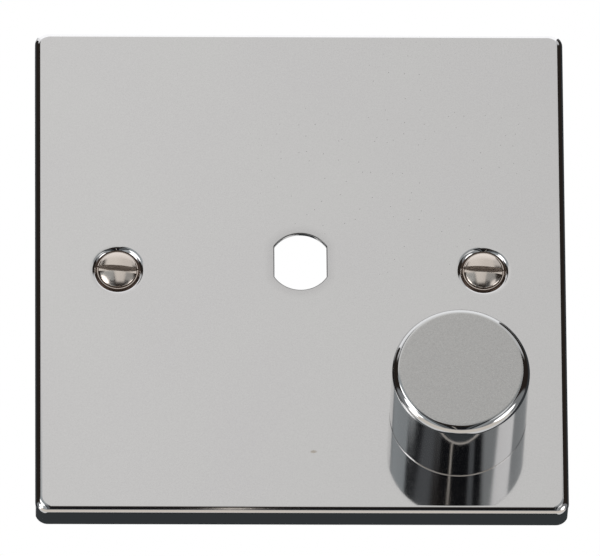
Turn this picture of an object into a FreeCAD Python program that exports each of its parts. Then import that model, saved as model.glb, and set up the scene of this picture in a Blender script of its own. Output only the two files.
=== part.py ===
import FreeCAD, Part
import math
import os
from types import SimpleNamespace

import Sketcher

# A dimmer plate kit, in millimetres: a pressed and plated front plate with its two fixing screws,
# the earth clamp on its back, and the loose control knob that stands on the plate's lower right.
# The origin is the middle of the plate's back rim. X runs along the screw line, Y towards the
# plate's top and Z out of its face.

SIZES = {
    # Front plate, pressed from one sheet
    "plate_width": 87.5,
    "plate_height": 87.5,
    "plate_depth": 5.2,
    "sheet_thickness": 0.8,
    "plate_corner_radius": 3.0,
    "plate_edge_radius": 1.2,
    "tightest_bend": 0.2,
    # Countersunk dimples, drawn into the sheet round each screw
    "screw_spacing": 60.3,
    "dimple_mouth_diameter": 8.0,
    "dimple_lip_radius": 0.8,
    "dimple_root_radius": 0.5,
    "dimple_land": 0.35,
    # Double-D hole for the dimmer's bush
    "bush_hole_diameter": 10.2,
    "bush_hole_flats": 8.6,
    "bush_hole_rise": 1.6,
    "bush_hole_edge_radius": 0.15,
    # Raised countersunk fixing screws
    "screw_thread_diameter": 3.5,
    "screw_neck_diameter": 3.1,
    "screw_neck_length": 1.2,
    "screw_thread_lead_in": 0.2,
    "screw_length": 25.0,
    "screw_point_chamfer": 0.5,
    "screw_head_diameter": 7.0,
    "screw_head_land": 0.25,
    "screw_dome_diameter": 6.2,
    "screw_dome_rise": 0.6,
    "screw_slot_width": 1.05,
    "screw_slot_depth": 1.2,
    "left_slot_turn": 4.5,
    "right_slot_turn": 3.5,
    "screw_hole_clearance": 0.5,
    "screw_seat_clearance": 0.03,
    # Knob, a plated cup over a moulded insert
    "knob_diameter": 22.6,
    "knob_height": 17.2,
    "knob_wall": 1.0,
    "knob_edge_radius": 1.5,
    "knob_foot_radius": 0.35,
    "knob_from_right": 6.75,
    "knob_from_bottom": 6.55,
    "insert_clearance": 0.05,
    "insert_setback": 1.5,
    "insert_wall": 1.3,
    "insert_web": 2.0,
    "hub_diameter": 10.4,
    "hub_setback": 6.5,
    "rib_count": 6,
    "rib_thickness": 1.0,
    "rib_setback": 11.0,
    "spindle_diameter": 6.0,
    "spindle_across_flat": 4.5,
    "spindle_clearance": 0.05,
    "spindle_depth": 8.5,
    "collet_slot_width": 0.9,
    "collet_slot_depth": 5.0,
    "spring_wire_diameter": 0.8,
    "spring_groove_depth": 0.4,
    "spring_clearance": 0.05,
    "spring_from_hub_end": 0.7,
    "spring_gap_angle": 50.0,
    # Earth clamp on the plate's back
    "earth_from_middle": 18.0,
    "earth_from_bottom": 12.5,
    "earth_strip_thickness": 1.0,
    "earth_strip_width": 9.0,
    "earth_foot_length": 8.0,
    "earth_leg_length": 12.0,
    "earth_leg_corner_radius": 1.5,
    "earth_bend_radius": 0.6,
    "earth_hole_drop": 7.2,
    "earth_collar_diameter": 5.6,
    "earth_collar_height": 1.0,
    "earth_saddle_thickness": 1.0,
    "earth_saddle_height": 7.0,
    "earth_saddle_lip": 0.8,
    "earth_saddle_clearance": 0.15,
    "earth_screw_diameter": 3.5,
    "earth_screw_length": 6.0,
    "earth_screw_clearance": 0.05,
    "earth_screw_point_chamfer": 0.4,
    "earth_head_diameter": 6.4,
    "earth_head_height": 2.2,
    "earth_head_edge_radius": 0.8,
    "earth_slot_width": 1.0,
    "earth_slot_depth": 1.1,
}

SHEET_NAME = "Sizes"
FULL_TURN = 360
CLOSE = 1e-4  # two places nearer than this are the same place
PAST = 1.0  # how far a cutting outline runs past the face it opens


class Size:
    """A number worked out from the sheet: its value now and the expression that keeps it."""

    def __init__(self, value, text):
        self.value = value
        self.text = text

    def __float__(self):
        return float(self.value)

    def __add__(self, other):
        other = as_size(other)
        return Size(self.value + other.value, f"({self.text} + {other.text})")

    def __sub__(self, other):
        other = as_size(other)
        return Size(self.value - other.value, f"({self.text} - {other.text})")

    def __rsub__(self, other):
        return as_size(other) - self

    def __mul__(self, other):
        other = as_size(other)
        return Size(self.value * other.value, f"({self.text} * {other.text})")

    def __truediv__(self, other):
        other = as_size(other)
        return Size(self.value / other.value, f"({self.text} / {other.text})")

    def __neg__(self):
        return 0 - self


def as_size(number):
    """A plain number as a size that follows nothing."""
    return number if isinstance(number, Size) else Size(number, str(number))


def at_least(size, floor):
    """A size that never falls below another."""
    return Size(max(size.value, floor.value), f"max({size.text}; {floor.text})")


def make_sheet(sizes):
    """Writes every driving size to the sheet and gives them back by name."""
    sheet = doc.addObject("Spreadsheet::Sheet", SHEET_NAME)
    for row, (name, value) in enumerate(sizes.items(), start=1):
        sheet.set(f"A{row}", name)
        sheet.set(f"B{row}", str(value))
        sheet.setAlias(f"B{row}", name)
    doc.recompute()
    named = {name: Size(value, f"{SHEET_NAME}.{name}") for name, value in sizes.items()}
    return SimpleNamespace(**named)


def bind(item, path, size):
    """Ties one property to a size."""
    item.setExpression(path, as_size(size).text)


def new_body(name, x=0, y=0, z=0):
    """An empty body, placed by sizes."""
    body = doc.addObject("PartDesign::Body", name)
    body.Label = name
    for axis, size in (("x", x), ("y", y), ("z", z)):
        bind(body, f"Placement.Base.{axis}", size)
    return body


def origin_item(body, role):
    """One of the body's own origin planes or axes."""
    return next(item for item in body.Origin.OriginFeatures if item.Role == role)


def new_sketch(body, name, plane, x=0, y=0, z=0):
    """A sketch on an origin plane, shifted by sizes along the sketch's own axes."""
    sketch = body.newObject("Sketcher::SketchObject", name)
    sketch.AttachmentSupport = [(origin_item(body, plane), "")]
    sketch.MapMode = "FlatFace"
    for axis, size in (("x", x), ("y", y), ("z", z)):
        bind(sketch, f"AttachmentOffset.Base.{axis}", size)
    return sketch


def dimension(sketch, kind, size, *where):
    """A sketch dimension that follows a size."""
    index = sketch.addConstraint(Sketcher.Constraint(kind, *where, float(size)))
    bind(sketch, f"Constraints[{index}]", size)


def hold(sketch, line, end, x=None, y=None):
    """Keeps one end of a line or arc at sizes from the sketch's origin, or on its axes."""
    for kind, axis, size in (("DistanceX", -2, x), ("DistanceY", -1, y)):
        if isinstance(size, Size):
            dimension(sketch, kind, size, -1, 1, line, end)
        elif size == 0:
            sketch.addConstraint(Sketcher.Constraint("PointOnObject", line, end, axis))


def join_ends(sketch, count):
    """Joins the sketch's lines and arcs, end to start, into one loop."""
    for index in range(count):
        sketch.addConstraint(Sketcher.Constraint("Coincident", index, 2, (index + 1) % count, 1))


def polygon(sketch, corners):
    """A loop of straight lines through corners given as two sizes each."""
    spots = [FreeCAD.Vector(float(x), float(y), 0) for x, y in corners]
    for start, end in zip(spots, spots[1:] + spots[:1]):
        sketch.addGeometry(Part.LineSegment(start, end), False)
    join_ends(sketch, len(corners))
    for index, (x, y) in enumerate(corners):
        hold(sketch, index, 1, x, y)


def rectangle(sketch, left, right, bottom, top):
    """A rectangle between four sizes."""
    polygon(sketch, [(left, bottom), (right, bottom), (right, top), (left, top)])


def rounded_rectangle(sketch, half_width, half_height, radius):
    """A rectangle about the sketch's origin, with each corner an arc that runs on from its sides."""
    inset_x = half_width - radius
    inset_y = half_height - radius
    corners = [(1, 1), (-1, 1), (-1, -1), (1, -1)]
    arcs = []
    for turn, (x, y) in enumerate(corners):
        centre = FreeCAD.Vector(float(inset_x) * x, float(inset_y) * y, 0)
        whole = Part.Circle(centre, FreeCAD.Vector(0, 0, 1), float(radius))
        start = turn * math.pi / 2
        arcs.append(Part.ArcOfCircle(whole, start, start + math.pi / 2))
    following = arcs[1:] + arcs[:1]
    sides = [Part.LineSegment(arc.EndPoint, after.StartPoint) for arc, after in zip(arcs, following)]
    sketch.addGeometry(arcs + sides, False)
    for arc, (x, y) in enumerate(corners):
        side = arc + len(arcs)
        sketch.addConstraint(Sketcher.Constraint("Tangent", arc, 2, side, 1))
        sketch.addConstraint(Sketcher.Constraint("Tangent", side, 2, (arc + 1) % len(arcs), 1))
        hold(sketch, arc, 3, inset_x * x, inset_y * y)
        dimension(sketch, "Radius", radius, arc)


def domed_outline(sketch, corners):
    """A loop from a dome's edge, the first corner, down to its top on the upright axis, the last.

    The arc that closes it is centred on that axis, so the dome is level at its top.
    """
    spots = [FreeCAD.Vector(float(x), float(y), 0) for x, y in corners]
    for start, end in zip(spots, spots[1:]):
        sketch.addGeometry(Part.LineSegment(start, end), False)
    edge = spots[0]
    rise = spots[-1].y - edge.y
    radius = (edge.x**2 + rise**2) / (2 * rise)
    centre = FreeCAD.Vector(0, spots[-1].y - radius, 0)
    whole = Part.Circle(centre, FreeCAD.Vector(0, 0, 1), radius)
    edge_angle = math.atan2(radius - rise, edge.x)
    dome = sketch.addGeometry(Part.ArcOfCircle(whole, edge_angle, math.pi / 2), False)
    for index in range(dome - 1):
        sketch.addConstraint(Sketcher.Constraint("Coincident", index, 2, index + 1, 1))
    sketch.addConstraint(Sketcher.Constraint("Coincident", dome, 2, dome - 1, 2))
    sketch.addConstraint(Sketcher.Constraint("Coincident", dome, 1, 0, 1))
    sketch.addConstraint(Sketcher.Constraint("PointOnObject", dome, 3, -2))
    for index, (x, y) in enumerate(corners[:-1]):
        hold(sketch, index, 1, x, y)
    hold(sketch, dome, 2, *corners[-1])


def circle(sketch, x, y, diameter):
    """A circle about a point given by two sizes."""
    centre = FreeCAD.Vector(float(x), float(y), 0)
    index = sketch.addGeometry(Part.Circle(centre, FreeCAD.Vector(0, 0, 1), float(diameter) / 2), False)
    hold(sketch, index, 3, x, y)
    dimension(sketch, "Diameter", diameter, index)


def flatted_circle(sketch, diameter, flats):
    """A circle about the sketch's origin, cut by an upright flat at each x in flats, one or two."""
    radius = float(diameter) / 2
    angles = [math.acos(float(x) / radius) for x in flats]
    if len(flats) == 1:
        spans = [(angles[0], 2 * math.pi - angles[0])]
    else:
        spans = [(angles[0], angles[1]), (-angles[1], -angles[0])]
    whole = Part.Circle(FreeCAD.Vector(0, 0, 0), FreeCAD.Vector(0, 0, 1), radius)
    arcs = [Part.ArcOfCircle(whole, start, end) for start, end in spans]
    for arc, after in zip(arcs, arcs[1:] + arcs[:1]):
        sketch.addGeometry(arc, False)
        sketch.addGeometry(Part.LineSegment(arc.EndPoint, after.StartPoint), False)
    join_ends(sketch, 2 * len(arcs))
    for turn, x in enumerate(flats):
        arc = 2 * turn
        sketch.addConstraint(Sketcher.Constraint("Coincident", arc, 3, -1, 1))
        sketch.addConstraint(Sketcher.Constraint("Vertical", arc + 1))
        dimension(sketch, "Diameter", diameter, arc)
        hold(sketch, arc, 1, x=x)


def pad(body, name, sketch, length, reverse=False, symmetric=False):
    """Solid along the sketch's normal."""
    feature = body.newObject("PartDesign::Pad", name)
    feature.Profile = sketch
    feature.Reversed = reverse
    feature.SideType = "Symmetric" if symmetric else "One side"
    bind(feature, "Length", length)
    doc.recompute()
    return feature


def revolve(body, name, sketch, angle=FULL_TURN):
    """Solid turned about the sketch's upright axis."""
    feature = body.newObject("PartDesign::Revolution", name)
    feature.Profile = sketch
    feature.ReferenceAxis = (sketch, ["V_Axis"])
    bind(feature, "Angle", angle)
    doc.recompute()
    return feature


def check_cut(feature, volume_before):
    """Stops the build where a cut took nothing away."""
    if not feature.Shape.Volume < volume_before - CLOSE:
        raise RuntimeError(f"{feature.Name} cuts nothing")
    return feature


def pocket(body, name, sketch, depth=None, reverse=False, symmetric=False):
    """Cut along the sketch's normal, right through where no depth is given."""
    volume_before = body.Tip.Shape.Volume
    feature = body.newObject("PartDesign::Pocket", name)
    feature.Profile = sketch
    feature.Reversed = reverse
    feature.SideType = "Symmetric" if symmetric else "One side"
    if depth is None:
        feature.Type = "ThroughAll"
    else:
        bind(feature, "Length", depth)
    doc.recompute()
    return check_cut(feature, volume_before)


def groove(body, name, sketch):
    """Cut turned about the sketch's upright axis."""
    volume_before = body.Tip.Shape.Volume
    feature = body.newObject("PartDesign::Groove", name)
    feature.Profile = sketch
    feature.ReferenceAxis = (sketch, ["V_Axis"])
    feature.Angle = FULL_TURN
    doc.recompute()
    return check_cut(feature, volume_before)


def round_edges(body, name, is_wanted, radius):
    """Rounds those edges of the body so far that pass a test."""
    base = body.Tip
    edges = [f"Edge{i}" for i, edge in enumerate(base.Shape.Edges, start=1) if is_wanted(edge)]
    if not edges:
        raise RuntimeError(f"{name} finds no edge")
    feature = body.newObject("PartDesign::Fillet", name)
    feature.Base = (base, edges)
    bind(feature, "Radius", radius)
    doc.recompute()
    return feature


def is_near(first, second):
    """Are two numbers the same place?"""
    return abs(float(first) - float(second)) < CLOSE


def is_level(edge, height):
    """Does an edge lie flat at a height?"""
    box = edge.BoundBox
    return is_near(box.ZMin, height) and is_near(box.ZMax, height)


def is_upright(edge):
    """Does an edge run along Z alone?"""
    box = edge.BoundBox
    return is_near(box.XLength, 0) and is_near(box.YLength, 0)


def is_ring(edge, radius):
    """Is an edge a full circle of a radius?"""
    return isinstance(edge.Curve, Part.Circle) and edge.isClosed() and is_near(edge.Curve.Radius, radius)


def plate_underside():
    """Height of the sheet's inner face above the back rim."""
    return size.plate_depth - size.sheet_thickness


def screw_hole_radius():
    """Radius of the hole that the fixing screw passes through."""
    return (size.screw_thread_diameter + size.screw_hole_clearance) / 2


def make_tray(body):
    """The plate's shallow tray: rounded corners, and a rolled edge of even thickness."""
    half_width = size.plate_width / 2
    half_height = size.plate_height / 2
    outline = new_sketch(body, "plate_outline", "XY_Plane")
    rounded_rectangle(outline, half_width, half_height, size.plate_corner_radius)
    pad(body, "plate_blank", outline, size.plate_depth)
    round_edges(
        body, "plate_rolled_edge", lambda edge: is_level(edge, size.plate_depth), size.plate_edge_radius
    )
    hollow = new_sketch(body, "plate_hollow_outline", "XY_Plane")
    rounded_rectangle(
        hollow,
        half_width - size.sheet_thickness,
        half_height - size.sheet_thickness,
        at_least(size.plate_corner_radius - size.sheet_thickness, size.tightest_bend),
    )
    pocket(body, "plate_hollow", hollow, plate_underside(), reverse=True)
    round_edges(
        body,
        "plate_inner_bend",
        lambda edge: is_level(edge, plate_underside()),
        at_least(size.plate_edge_radius - size.sheet_thickness, size.tightest_bend),
    )


def make_dimples(body):
    """A countersunk dimple at each end of the screw line, with the sheet's thickness behind its cone."""
    mouth = size.dimple_mouth_diameter / 2
    hole = screw_hole_radius()
    cone_foot = size.plate_depth - (mouth - hole)
    floor = cone_foot - size.dimple_land
    # A cone at 45 degrees stands this much further out on the sheet's other side
    back_shift = size.sheet_thickness * math.sqrt(2)
    back_mouth = mouth + back_shift - size.sheet_thickness
    back_foot = mouth + back_shift - (size.plate_depth - floor)
    mid_sheet = size.plate_depth - size.sheet_thickness / 2
    middle = size.screw_spacing / 2

    back = new_sketch(body, "dimple_back_section", "XZ_Plane", x=middle)
    polygon(
        back,
        [
            (0, floor),
            (back_foot, floor),
            (back_mouth, plate_underside()),
            (back_mouth, mid_sheet),
            (0, mid_sheet),
        ],
    )
    drawn = revolve(body, "dimple_back", back)
    front = new_sketch(body, "dimple_front_section", "XZ_Plane", x=middle)
    polygon(
        front,
        [
            (0, floor - PAST),
            (hole, floor - PAST),
            (hole, cone_foot),
            (mouth + PAST, size.plate_depth + PAST),
            (0, size.plate_depth + PAST),
        ],
    )
    sunk = groove(body, "dimple_front", front)
    pair = body.newObject("PartDesign::Mirrored", "dimple_pair")
    pair.Originals = [drawn, sunk]
    pair.MirrorPlane = (origin_item(body, "YZ_Plane"), [""])
    body.Tip = pair
    doc.recompute()
    round_edges(body, "dimple_lips", lambda edge: is_ring(edge, mouth), size.dimple_lip_radius)
    round_edges(body, "dimple_roots", lambda edge: is_ring(edge, back_mouth), size.dimple_root_radius)


def make_front_plate():
    """One pressed sheet: the tray, its two dimples and the double-D hole."""
    body = new_body("front_plate")
    make_tray(body)
    make_dimples(body)
    half_flats = size.bush_hole_flats / 2
    outline = new_sketch(body, "bush_hole_outline", "XY_Plane", y=size.bush_hole_rise, z=size.plate_depth)
    flatted_circle(outline, size.bush_hole_diameter, [half_flats, -half_flats])
    pocket(body, "bush_hole", outline)

    def is_hole_mouth(edge):
        middle = edge.CenterOfMass
        reach = math.hypot(middle.x, middle.y - float(size.bush_hole_rise))
        return is_level(edge, size.plate_depth) and reach < float(size.bush_hole_diameter) / 2

    round_edges(body, "bush_hole_edge", is_hole_mouth, size.bush_hole_edge_radius)
    return body


def make_fixing_screw(name, side, slot_turn):
    """A raised countersunk slotted screw, seated on its dimple's cone.

    The side is -1 or 1, and the slot stops that many degrees clockwise of the screw line.
    """
    head = size.screw_head_diameter / 2
    neck = size.screw_neck_diameter / 2
    thread = size.screw_thread_diameter / 2
    dome = size.screw_dome_diameter / 2
    neck_top = -size.screw_head_land - (head - neck)
    neck_end = neck_top - size.screw_neck_length
    thread_top = neck_end - size.screw_thread_lead_in
    point = -size.screw_length
    seat_rise = head + size.screw_head_land + size.screw_seat_clearance
    rim_height = size.plate_depth - size.dimple_mouth_diameter / 2 + seat_rise
    body = new_body(name, x=size.screw_spacing / 2 * side, z=rim_height)

    corners = [
        (dome, 0),
        (head, 0),
        (head, -size.screw_head_land),
        (neck, neck_top),
        (neck, neck_end),
        (thread, thread_top),
        (thread, point + size.screw_point_chamfer),
        (thread - size.screw_point_chamfer, point),
        (0, point),
        (0, size.screw_dome_rise),
    ]
    section = new_sketch(body, "screw_section", "XZ_Plane")
    domed_outline(section, corners)
    revolve(body, "screw_turned", section)

    slot = new_sketch(body, "screw_slot_outline", "XY_Plane", z=size.screw_dome_rise)
    half_slot = size.screw_slot_width / 2
    rectangle(slot, -(head + PAST), head + PAST, -half_slot, half_slot)
    bind(slot, "AttachmentOffset.Rotation.Angle", -slot_turn)
    pocket(body, "screw_slot", slot, size.screw_slot_depth)
    return body


def knob_place():
    """Where the knob stands: on the plate's face, in from its right and bottom edges."""
    radius = size.knob_diameter / 2
    x = size.plate_width / 2 - size.knob_from_right - radius
    y = -(size.plate_height / 2 - size.knob_from_bottom - radius)
    return {"x": x, "y": y, "z": size.plate_depth}


def make_knob_cap():
    """The knob's plated cup, open at its foot."""
    body = new_body("knob_cap", **knob_place())
    outer = size.knob_diameter / 2
    inner = outer - size.knob_wall
    roof = size.knob_height - size.knob_wall
    section = new_sketch(body, "cap_section", "XZ_Plane")
    polygon(
        section,
        [(inner, 0), (outer, 0), (outer, size.knob_height), (0, size.knob_height), (0, roof), (inner, roof)],
    )
    revolve(body, "cap_cup", section)
    round_edges(
        body, "cap_top_edge", lambda edge: is_level(edge, size.knob_height), size.knob_edge_radius
    )
    round_edges(
        body,
        "cap_foot_edge",
        lambda edge: is_level(edge, 0) and is_ring(edge, outer),
        size.knob_foot_radius,
    )
    return body


def make_knob_insert():
    """The moulding in the cup: outer wall, web under the cup's roof, ribs, and a split hub with a D-bore."""
    body = new_body("knob_insert", **knob_place())
    outer = size.knob_diameter / 2 - size.knob_wall - size.insert_clearance
    wall = outer - size.insert_wall
    hub = size.hub_diameter / 2
    roof = size.knob_height - size.knob_wall
    web = roof - size.insert_web
    section = new_sketch(body, "insert_section", "XZ_Plane")
    polygon(
        section,
        [
            (0, size.hub_setback),
            (hub, size.hub_setback),
            (hub, web),
            (wall, web),
            (wall, size.insert_setback),
            (outer, size.insert_setback),
            (outer, roof),
            (0, roof),
        ],
    )
    revolve(body, "insert_turned", section)

    # One rib from inside the hub's wall to inside the outer wall, then the whole star
    rib_outline = new_sketch(body, "rib_outline", "XY_Plane", z=size.rib_setback)
    half_rib = size.rib_thickness / 2
    rectangle(rib_outline, hub - size.rib_thickness, wall + size.insert_wall / 2, -half_rib, half_rib)
    rib = pad(body, "rib", rib_outline, web - size.rib_setback + size.insert_web / 2)
    star = body.newObject("PartDesign::PolarPattern", "rib_star")
    star.Originals = [rib]
    star.Axis = (origin_item(body, "Z_Axis"), [""])
    star.Angle = FULL_TURN
    bind(star, "Occurrences", size.rib_count)
    body.Tip = star
    doc.recompute()

    bore = new_sketch(body, "spindle_outline", "XY_Plane", z=size.hub_setback)
    flat = size.spindle_across_flat - size.spindle_diameter / 2 + size.spindle_clearance
    flatted_circle(bore, size.spindle_diameter + size.spindle_clearance * 2, [flat])
    pocket(body, "spindle_bore", bore, size.spindle_depth, reverse=True)

    slots = new_sketch(body, "collet_slot_outline", "XY_Plane", z=size.hub_setback)
    half_slot = size.collet_slot_width / 2
    rectangle(slots, -half_slot, half_slot, -(hub + half_slot), hub + half_slot)
    pocket(body, "collet_slots", slots, size.collet_slot_depth, reverse=True)

    spring_height = size.hub_setback + size.spring_from_hub_end
    half_wire = size.spring_wire_diameter / 2
    groove_half = half_wire + size.spring_clearance
    seat = new_sketch(body, "spring_groove_outline", "XZ_Plane")
    rectangle(
        seat,
        hub - size.spring_groove_depth,
        hub + size.spring_wire_diameter,
        spring_height - groove_half,
        spring_height + groove_half,
    )
    groove(body, "spring_groove", seat)
    return body


def make_knob_spring():
    """The open wire ring in the hub's groove."""
    body = new_body("knob_spring", **knob_place())
    groove_bottom = size.hub_diameter / 2 - size.spring_groove_depth
    middle = groove_bottom + size.spring_clearance + size.spring_wire_diameter / 2
    section = new_sketch(body, "wire_section", "XZ_Plane")
    circle(section, middle, size.hub_setback + size.spring_from_hub_end, size.spring_wire_diameter)
    revolve(body, "wire_ring", section, FULL_TURN - size.spring_gap_angle)
    return body


def earth_place():
    """Where the earth clamp sits: the leg's outer face, at the sheet's inner face."""
    y = -(size.plate_height / 2 - size.earth_from_bottom)
    return {"x": -size.earth_from_middle, "y": y, "z": plate_underside()}


def make_earth_bracket():
    """A folded tab: its foot is welded to the sheet, and its leg has a tapped collar."""
    body = new_body("earth_bracket", **earth_place())
    thick = size.earth_strip_thickness
    tip = -size.earth_leg_length
    foot = size.earth_foot_length
    section = new_sketch(body, "bracket_section", "YZ_Plane")
    polygon(section, [(0, 0), (0, tip), (thick, tip), (thick, -thick), (foot, -thick), (foot, 0)])
    pad(body, "bracket_folded", section, size.earth_strip_width, symmetric=True)

    def is_fold(edge, depth):
        box = edge.BoundBox
        return is_near(box.YMin, depth) and is_near(box.YMax, depth) and is_level(edge, -depth)

    round_edges(body, "bracket_inner_bend", lambda edge: is_fold(edge, float(thick)), size.earth_bend_radius)
    round_edges(body, "bracket_outer_bend", lambda edge: is_fold(edge, 0), size.earth_bend_radius + thick)

    def is_leg_corner(edge):
        return is_level(edge, tip) and is_near(edge.BoundBox.XLength, 0)

    round_edges(body, "bracket_leg_corners", is_leg_corner, size.earth_leg_corner_radius)
    collar = new_sketch(body, "collar_outline", "XZ_Plane")
    circle(collar, 0, -size.earth_hole_drop, size.earth_collar_diameter)
    pad(body, "collar", collar, thick + size.earth_collar_height, reverse=True)
    hole = new_sketch(body, "tapped_hole_outline", "XZ_Plane")
    circle(hole, 0, -size.earth_hole_drop, size.earth_screw_diameter + size.earth_screw_clearance * 2)
    pocket(body, "tapped_hole", hole, symmetric=True)
    return body


def make_earth_saddle():
    """The clamp washer: a flat web on the leg's outer face, with a lip down each side of the leg."""
    body = new_body("earth_saddle", **earth_place())
    inner = size.earth_strip_width / 2 + size.earth_saddle_clearance
    outer = inner + size.earth_saddle_thickness
    back = -size.earth_saddle_thickness
    lip = size.earth_saddle_lip
    section = new_sketch(body, "saddle_section", "XY_Plane", z=-size.earth_hole_drop)
    polygon(
        section,
        [
            (-outer, back),
            (outer, back),
            (outer, lip),
            (inner, lip),
            (inner, 0),
            (-inner, 0),
            (-inner, lip),
            (-outer, lip),
        ],
    )
    pad(body, "saddle_folded", section, size.earth_saddle_height, symmetric=True)

    def is_outer_fold(edge):
        return is_upright(edge) and is_near(edge.CenterOfMass.y, back)

    round_edges(body, "saddle_folds", is_outer_fold, size.earth_bend_radius)
    hole = new_sketch(body, "saddle_hole_outline", "XZ_Plane")
    circle(hole, 0, -size.earth_hole_drop, size.earth_screw_diameter + size.screw_hole_clearance)
    pocket(body, "saddle_hole", hole, symmetric=True)
    return body


def make_earth_screw():
    """The clamp screw: a slotted pan head on the saddle, its shank through the leg's collar."""
    place = earth_place()
    place["y"] = place["y"] - size.earth_saddle_thickness
    place["z"] = place["z"] - size.earth_hole_drop
    body = new_body("earth_screw", **place)
    head = size.earth_head_diameter / 2
    shank = size.earth_screw_diameter / 2
    end = size.earth_screw_length
    section = new_sketch(body, "earth_screw_section", "XY_Plane")
    polygon(
        section,
        [
            (0, -size.earth_head_height),
            (head, -size.earth_head_height),
            (head, 0),
            (shank, 0),
            (shank, end - size.earth_screw_point_chamfer),
            (shank - size.earth_screw_point_chamfer, end),
            (0, end),
        ],
    )
    revolve(body, "earth_screw_turned", section)

    def is_head_edge(edge):
        return is_ring(edge, head) and is_near(edge.CenterOfMass.y, -size.earth_head_height)

    round_edges(body, "earth_head_edge", is_head_edge, size.earth_head_edge_radius)
    slot = new_sketch(body, "earth_slot_outline", "XZ_Plane", z=size.earth_head_height)
    half_slot = size.earth_slot_width / 2
    rectangle(slot, -(head + PAST), head + PAST, -half_slot, half_slot)
    pocket(body, "earth_slot", slot, size.earth_slot_depth)
    return body


def check_document():
    """Stops the build where any object failed, or a sub-part isn't a sound solid."""
    for item in doc.Objects:
        if "Invalid" in item.State or "Error" in item.State:
            raise RuntimeError(f"{item.Name} failed: {item.State}")
    for body in bodies:
        shape = body.Shape
        if shape.isNull() or not shape.isValid() or len(shape.Solids) != 1:
            raise RuntimeError(f"{body.Label} isn't one sound solid")


doc = FreeCAD.newDocument("dimmer_plate_kit")
size = make_sheet(SIZES)
bodies = [
    make_front_plate(),
    make_fixing_screw("fixing_screw_left", -1, size.left_slot_turn),
    make_fixing_screw("fixing_screw_right", 1, size.right_slot_turn),
    make_knob_cap(),
    make_knob_insert(),
    make_knob_spring(),
    make_earth_bracket(),
    make_earth_saddle(),
    make_earth_screw(),
]
doc.recompute()
check_document()
os.makedirs("parts", exist_ok=True)
for body in bodies:
    body.Shape.exportStep(f"parts/{body.Label}.step")
    print(body.Label, round(body.Shape.Volume, 2), "mm3")
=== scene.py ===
import math

import bmesh
import bpy
from mathutils import Matrix, Vector, geometry

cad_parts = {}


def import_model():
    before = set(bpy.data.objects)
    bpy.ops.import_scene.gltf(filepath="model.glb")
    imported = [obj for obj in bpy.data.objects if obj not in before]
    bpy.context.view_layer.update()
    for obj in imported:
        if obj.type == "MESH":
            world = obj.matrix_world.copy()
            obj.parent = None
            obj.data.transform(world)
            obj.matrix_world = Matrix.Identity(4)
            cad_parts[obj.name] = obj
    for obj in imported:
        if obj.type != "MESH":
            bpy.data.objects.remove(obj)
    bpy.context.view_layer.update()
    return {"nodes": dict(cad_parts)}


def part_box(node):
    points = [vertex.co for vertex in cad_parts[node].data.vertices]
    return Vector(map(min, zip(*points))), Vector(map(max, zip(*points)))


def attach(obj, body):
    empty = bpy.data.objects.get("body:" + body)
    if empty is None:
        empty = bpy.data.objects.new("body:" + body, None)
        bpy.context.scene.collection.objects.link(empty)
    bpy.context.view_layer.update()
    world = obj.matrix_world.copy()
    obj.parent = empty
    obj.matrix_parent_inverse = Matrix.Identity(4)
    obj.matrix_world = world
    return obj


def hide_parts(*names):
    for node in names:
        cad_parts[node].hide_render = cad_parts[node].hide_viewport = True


# The looks of a dimmer plate kit: a chromed plate, its two fixing screws, the loose knob and the
# earth clamp on the back. Everything is in metres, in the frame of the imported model.

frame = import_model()

MM = 0.001
_, PLATE_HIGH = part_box("front_plate")
KNOB_LOW, KNOB_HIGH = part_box("knob_cap")
SCREWS = {side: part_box(f"fixing_screw_{side}") for side in ("left", "right")}
SCREW_SPACING = SCREWS["right"][0].x - SCREWS["left"][0].x
CLAMP_LOW, CLAMP_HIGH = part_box("earth_screw")

# Pressed plate
SHEET = 0.8 * MM
CORNER_RADIUS = 2.1 * MM
FLAT_CORNER_RADIUS = 1.6 * MM  # where the rolled edge meets the flat
EDGE_RADIUS = 1.2 * MM
RIM_RADIUS = 0.1 * MM
FACE = PLATE_HIGH.z
UNDERSIDE = FACE - SHEET
EASE = 0.02 * MM  # narrow band of flat beside each bend, which keeps the flat's shading flat

# Double-D hole
HOLE_RADIUS = 5.1 * MM
HOLE_HALF_FLATS = 4.3 * MM
HOLE_CENTRE = Vector((0, 1.6 * MM))
HOLE_EDGE_RADIUS = 0.15 * MM
PUNCH_DIP = 0.028 * MM  # how far the punch drew the face down at the hole
PUNCH_DIP_WIDTH = 2.2 * MM
PUNCH_DIP_STEPS = 12
PUNCH_DIP_CROWDING = 1.5  # above 1, the steps stand closer next to the hole
SKIRT_REACH = HOLE_EDGE_RADIUS + EASE + PUNCH_DIP_WIDTH

# Dimples
DIMPLE_MOUTH = 4.0 * MM
DIMPLE_LIP_RADIUS = 1.6 * MM
DIMPLE_ROOT_RADIUS = 0.5 * MM
DIMPLE_LAND = 0.35 * MM
CONE_TURN = 45  # degrees, so a cone falls as far as it closes
SCREW_HOLE = 2.0 * MM

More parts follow.
